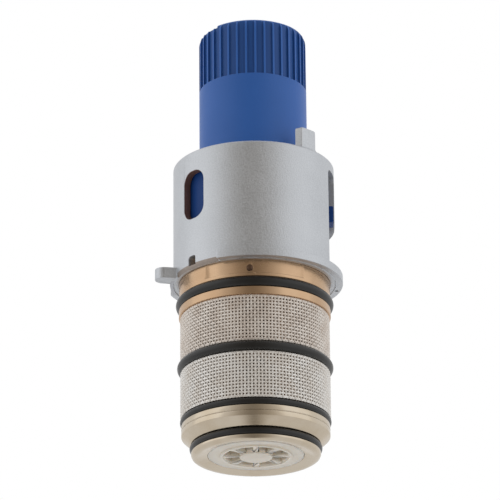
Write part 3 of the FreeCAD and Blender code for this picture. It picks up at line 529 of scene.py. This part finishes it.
# The slot's cut walls get a darker grey than the casting: painted shade.
slot_wall_shade = darker_cast_face("slot wall painted shade", (0.34, 0.35, 0.36), (0.34, 0.35, 0.365),
                     (0.46, 0.475, 0.49), 0.3, 0.5)
slot_wall_shade.onto(slot)
NOTCH_AZ, NOTCH_HALF, NOTCH_LOW, NOTCH_TOP = -49.6, 1, 37.4, 39.3
notch = slab("notch", [(-NOTCH_HALF, NOTCH_LOW, 0), (NOTCH_HALF, NOTCH_LOW, 0),
                       (NOTCH_HALF, NOTCH_TOP, 0.5), (-NOTCH_HALF, NOTCH_TOP, 0.5)],
             12, NOTCH_AZ, 8)
LEAD_LOW_R, LEAD_TOP_R = 15.75, 16.6
lead_in = arc_block("lead-in", LEAD_LOW_R, 17.5, -71.0, -25.3, 36.0, 37.8)
for corner in lead_in.data.vertices:
    if corner.co.z > SLEEVE_LOW * MM and corner.co.xy.length < 16 * MM:
        corner.co.xy *= LEAD_TOP_R / LEAD_LOW_R
# The lead-in's brownish grey is painted shade for the band under the sleeve's lower edge.
lead_in_shade = darker_cast_face("shaded lead-in", (0.36, 0.31, 0.27), (0.31, 0.26, 0.225),
                     (0.42, 0.36, 0.32), 0.5, 0.45)
lead_in_shade.onto(lead_in)
PIN_R, PIN_DEEP = 0.3, 1.6
pin_mesh = bmesh.new()
bmesh.ops.create_cone(pin_mesh, cap_ends=True, segments=20, radius1=PIN_R * MM,
                      radius2=PIN_R * MM, depth=PIN_DEEP * MM)
bmesh.ops.translate(pin_mesh, verts=pin_mesh.verts, vec=at(17.1, 101.7, SLEEVE_LOW))
carve(sleeve, "DIFFERENCE", window, slot, lead_in, notch, solid("pinhole", pin_mesh))
ease(sleeve, 0.11)
blast = cast.between(0.3, 0.7, cast.speckle(0.28, 2.0))
patch = cast.speckle(7.0, 3.0)
cast.set("Base Color", cast.blend(blast * 0.45 + patch * 0.55, (0.51, 0.53, 0.56),
                                  (0.71, 0.735, 0.77)))
cast.set("Roughness", blast * 0.16 + patch * 0.08 + 0.33)
cast.relief(blast, 0.03, 0.55)
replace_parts(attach(sleeve, "valve"), "housing_sleeve")

# Guide bush and slip washer: the blue bush keys the spindle and locks into the slot,
# and the pale washer lets the nut turn under the sleeve's lip. Both are moulded.
BUSH_R, BUSH_BORE_R, BUSH_TOP, BUSH_LIP_R, BUSH_LIP_TOP = 14.8, 8.8, 57.4, 13.8, 58.7
KEY_LOW, KEY_TOP, KEY_NEAR, KEY_FAR, HEXAGON_R = 49.0, 52.5, -0.5, -3.9, 19.6 / math.sqrt(3)
bush = turned("guide_bush_moulded", [
    (BUSH_BORE_R, NECK_TOP), (BUSH_R, NECK_TOP), (BUSH_R, BUSH_LIP_TOP),
    (BUSH_LIP_R, BUSH_LIP_TOP), (BUSH_LIP_R, BUSH_TOP), (BUSH_BORE_R, BUSH_TOP)])
key = slab("key", [(KEY_FAR, KEY_LOW, 0), (KEY_NEAR, KEY_LOW, 0), (KEY_NEAR, KEY_TOP, 0),
                   (KEY_FAR, KEY_TOP, 0)], 2.9, 90, 13.3)
carve(bush, "UNION", key)
six = [(HEXAGON_R * math.cos(math.radians(60 * i)), HEXAGON_R * math.sin(math.radians(60 * i)), 0)
       for i in range(6)]
carve(bush, "DIFFERENCE", slab("hexagon", six, 12.7, 0, NECK_TOP - 1, flat=True))
ease(bush, 0.12)


def moulded_blue(name, bright, deep):
    """Blue moulded plastic: a fine spark-eroded skin and soft flow shades."""
    blue = Finish(name, bright, rough=0.4)
    blue.set("Specular IOR Level", 0.32)
    skin = blue.speckle(0.16, 2.0)
    flow = blue.speckle(5.0, 3.0)
    blue.set("Base Color", blue.blend(flow * 0.6 + skin * 0.4, bright, deep))
    blue.set("Roughness", skin * 0.14 + flow * 0.06 + 0.32)
    blue.relief(skin, 0.012, 0.35)
    return blue


bush_blue = moulded_blue("bush blue plastic", (0.013, 0.066, 0.275), (0.009, 0.048, 0.205))
bush_blue.set("Specular IOR Level", 0.15)
bush_blue.onto(bush)
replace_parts(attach(bush, "valve"), "guide_bush")
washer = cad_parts["slip_washer"]
slip = Finish("slip plastic", (0.8, 0.8, 0.76), rough=0.45)
slip.set("Base Color", slip.blend(slip.speckle(1.5, 3.0), (0.82, 0.82, 0.78), (0.72, 0.72, 0.67)))
slip.relief(slip.speckle(0.15, 2.0), 0.01, 0.4)
slip.onto(washer)

# Regulating nut: the blue barrel that the handle turns, with thirty-six narrow ribs, a
# stepped rim and a bored hub. One moulding, with a rounded shoulder and sharp furrow ends.
NUT_R, NUT_LOW, NUT_TOP, NUT_FOOT_R, NUT_FOOT_TOP = 11.1, 57.7, 91.5, 13.4, 59.3
NUT_BORE_R, NUT_BORE_TOP, HOLE_R, HOLE_LOW, DISH = 8.58, 77.3, 2.1, 82.3, 1.2
SPLINE_LOW, RIB_AZ, RIBS, FURROW_DEEP, FURROW_HALF = 79.2, 3.1, 36, 0.45, 3.85
nut = turned("regulating_nut_moulded", [
    (NUT_BORE_R, NUT_LOW), (NUT_FOOT_R, NUT_LOW), (NUT_FOOT_R, NUT_FOOT_TOP),
    (NUT_R, NUT_FOOT_TOP), (NUT_R, NUT_TOP - 1.9), (NUT_R - 0.1, NUT_TOP - 1.25),
    (NUT_R - 0.33, NUT_TOP - 0.65), (NUT_R - 0.68, NUT_TOP - 0.22), (NUT_R - 1.1, NUT_TOP),
    (9.1, NUT_TOP), (8.0, NUT_TOP - DISH), (HOLE_R, NUT_TOP - DISH), (HOLE_R, HOLE_LOW),
    (0, HOLE_LOW), (0, NUT_BORE_TOP), (NUT_BORE_R, NUT_BORE_TOP)])
furrow = arc_block("furrows", NUT_R - FURROW_DEEP, NUT_R + 1, -FURROW_HALF, FURROW_HALF,
                   SPLINE_LOW, NUT_TOP + 1)
step = arc_block("rim step", 7.0, NUT_R + 1, -133.0, -43.0, NUT_TOP - 0.75, NUT_TOP + 1)
furrows = copies(furrow, RIBS, RIB_AZ + 180 / RIBS)
nut_blue = moulded_blue("nut blue plastic", (0.040, 0.156, 0.540), (0.034, 0.136, 0.475))
nut_blue.onto(nut)
# The furrows get a darker copy of the nut's blue: painted shade in the narrow furrows.
furrow_shade_blue = moulded_blue("furrow blue painted shade", (0.020, 0.098, 0.360), (0.016, 0.084, 0.315))
furrow_shade_blue.onto(furrows)
carve(nut, "DIFFERENCE", furrows, step)
ease(nut, 0.07)
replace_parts(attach(nut, "nut"), "regulating_nut")

# Inner works: the spindle with its overload unit, the slide and the wax element, all from
# the drawing, and two springs of steel wire.
spindle_brass = turned_brass("spindle brass", (0.76, 0.56, 0.34), (0.60, 0.40, 0.22), 0.3)
spindle_brass.onto(*(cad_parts[n] for n in ("spindle", "overload_plunger")))
slide_brass = turned_brass("slide brass", (0.70, 0.56, 0.38), (0.52, 0.38, 0.24), 0.36)
slide_brass.onto(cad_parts["control_slide"])
copper = turned_brass("drawn copper", (0.72, 0.42, 0.27), (0.50, 0.26, 0.16), 0.3)
copper.onto(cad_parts["wax_element"])
spring_wire = Finish("spring steel", (0.56, 0.56, 0.57), metallic=1.0, rough=0.3)
drawn = spring_wire.speckle(0.6, 3.0)
spring_wire.set("Base Color", spring_wire.blend(drawn, (0.62, 0.62, 0.63), (0.42, 0.41, 0.40)))
spring_wire.set("Roughness", drawn * 0.2 + 0.22)
spring_wire.onto(*(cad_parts[n] for n in ("overload_clip", "element_pin", "element_clip")))
for name, body_name, joint, seat, travel in (
        ("overload_spring", "spindle", "overload_yield", 61.95, 2.0),
        ("return_spring", "valve", "slide_travel", 3.25, 0.8)):
    coil_mesh = bmesh.new()
    coil_mesh.from_mesh(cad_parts[name].data)
    bmesh.ops.remove_doubles(coil_mesh, verts=coil_mesh.verts, dist=1e-7)
    coil = solid(name + "_wound", coil_mesh)
    spring_wire.onto(coil)
    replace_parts(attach(coil, body_name), name)
    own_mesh(coil)
rubber.onto(*(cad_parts[n] for n in ("spindle_seal", "slide_seal")))

# Studio: a pale floor that is seen only from above, a white surround that is dimmer at
# the front, soft lamps at both sides, and the camera below, looking up at the cartridge.
FLOOR_R, FLOOR_GAP = 1.4, 0.00004
floor_mesh = bmesh.new()
bmesh.ops.create_circle(floor_mesh, cap_ends=True, segments=96, radius=FLOOR_R)
bmesh.ops.translate(floor_mesh, verts=floor_mesh.verts, vec=(0, 0, -FLOOR_GAP))
floor = solid("floor", floor_mesh)
for polygon in floor.data.polygons:
    if polygon.normal.z < 0:
        floor.data.flip_normals()
paper = Finish("pale paper", (0.86, 0.86, 0.85), rough=0.9)
paper.set("Base Color", paper.blend(paper.speckle(60, 2.0), (0.86, 0.86, 0.85),
                                    (0.84, 0.84, 0.83)))
seen = paper.node("ShaderNodeLightPath", output="Is Camera Ray")
under = paper.node("ShaderNodeNewGeometry", output="Backfacing")
clear = paper.node("ShaderNodeBsdfTransparent")
paper_side = Signal(paper, paper.surface.outputs[0])
shown = paper.node("ShaderNodeMixShader", sockets={0: seen * (1 - under), 1: clear, 2: paper_side})
paper.tree.links.new(shown.socket, paper.tree.nodes["Material Output"].inputs["Surface"])
paper.onto(floor)

FRONT_AZ, FRONT_HALF, FRONT_LEVEL, SIDE_LEVEL, BELOW_LEVEL = -4.0, 56, 0.24, 0.80, 0.92
world = bpy.data.worlds.new("studio")
bpy.context.scene.world = world
world.use_nodes = True
# The surround has no surface, so its nodes are made by the same methods on its own tree.
air = Finish.__new__(Finish)
air.tree = world.node_tree
look = air.node("ShaderNodeTexCoord", output="Generated")
x, y, z = (air.node("ShaderNodeSeparateXYZ", sockets={0: look}, output=i) for i in range(3))
front = at(1, FRONT_AZ, 0) / MM
level = (x * x + y * y + 0.0001) ** 0.5
facing = (x * front.x + y * front.y) * level ** -1.0
away = air.node("ShaderNodeMath", {"operation": "ARCCOSINE"}, {0: facing})
aside = air.between(0, math.radians(FRONT_HALF), away)
above = air.between(-0.45, -0.05, z)
strength = ((aside * (SIDE_LEVEL - FRONT_LEVEL) + FRONT_LEVEL)
            * (above * (1 - BELOW_LEVEL) + BELOW_LEVEL))
camera_ray = air.node("ShaderNodeLightPath", output="Is Camera Ray")
strength = strength * (1 - camera_ray) + camera_ray
tint = air.blend(camera_ray, air.blend(aside, (1, 0.9, 0.78), (1, 1, 1)), (1, 1, 1))
sky = air.tree.nodes["Background"]
air.tree.links.new(tint.socket, sky.inputs["Color"])
air.tree.links.new(strength.socket, sky.inputs["Strength"])
MIDDLE, LAMP_UP, LAMP_AWAY, LAMP_SIZE = Vector((0, 0, 0.045)), 220, 480, 0.50


def soft_lamp(name, azimuth, power):
    """Square soft box that faces the middle of the cartridge."""
    light = bpy.data.lights.new(name, "AREA")
    light.shape, light.size, light.energy = "SQUARE", LAMP_SIZE, power
    lamp = bpy.data.objects.new(name, light)
    lamp.location = at(LAMP_AWAY, azimuth, LAMP_UP)
    lamp.rotation_euler = (MIDDLE - lamp.location).to_track_quat("-Z", "Y").to_euler()
    bpy.context.scene.collection.objects.link(lamp)


soft_lamp("left box", -80, 0.20)
soft_lamp("right box", 66, 0.16)

CAMERA_UP, CAMERA_ROLL, CAMERA_AWAY = math.radians(-20.766), math.radians(-0.4948), 0.72313
LENS, FILM, LOOK_AT = 254.95, 36.0, Vector((-0.000857, 0, 0.044509))
back = Vector((0, -math.cos(CAMERA_UP), math.sin(CAMERA_UP)))
side = Vector((1, 0, 0))
rise = back.cross(side)
right = math.cos(CAMERA_ROLL) * side + math.sin(CAMERA_ROLL) * rise
top = -math.sin(CAMERA_ROLL) * side + math.cos(CAMERA_ROLL) * rise
lens = bpy.data.cameras.new("camera")
lens.lens, lens.sensor_width, lens.clip_start = LENS, FILM, 0.01
camera = bpy.data.objects.new("camera", lens)
bearing = Matrix((right, top, back)).transposed().to_4x4()
bearing.translation = LOOK_AT + back * CAMERA_AWAY
camera.matrix_world = bearing
bpy.context.scene.collection.objects.link(camera)
bpy.context.scene.camera = camera
bpy.context.scene.view_settings.view_transform = "Standard"
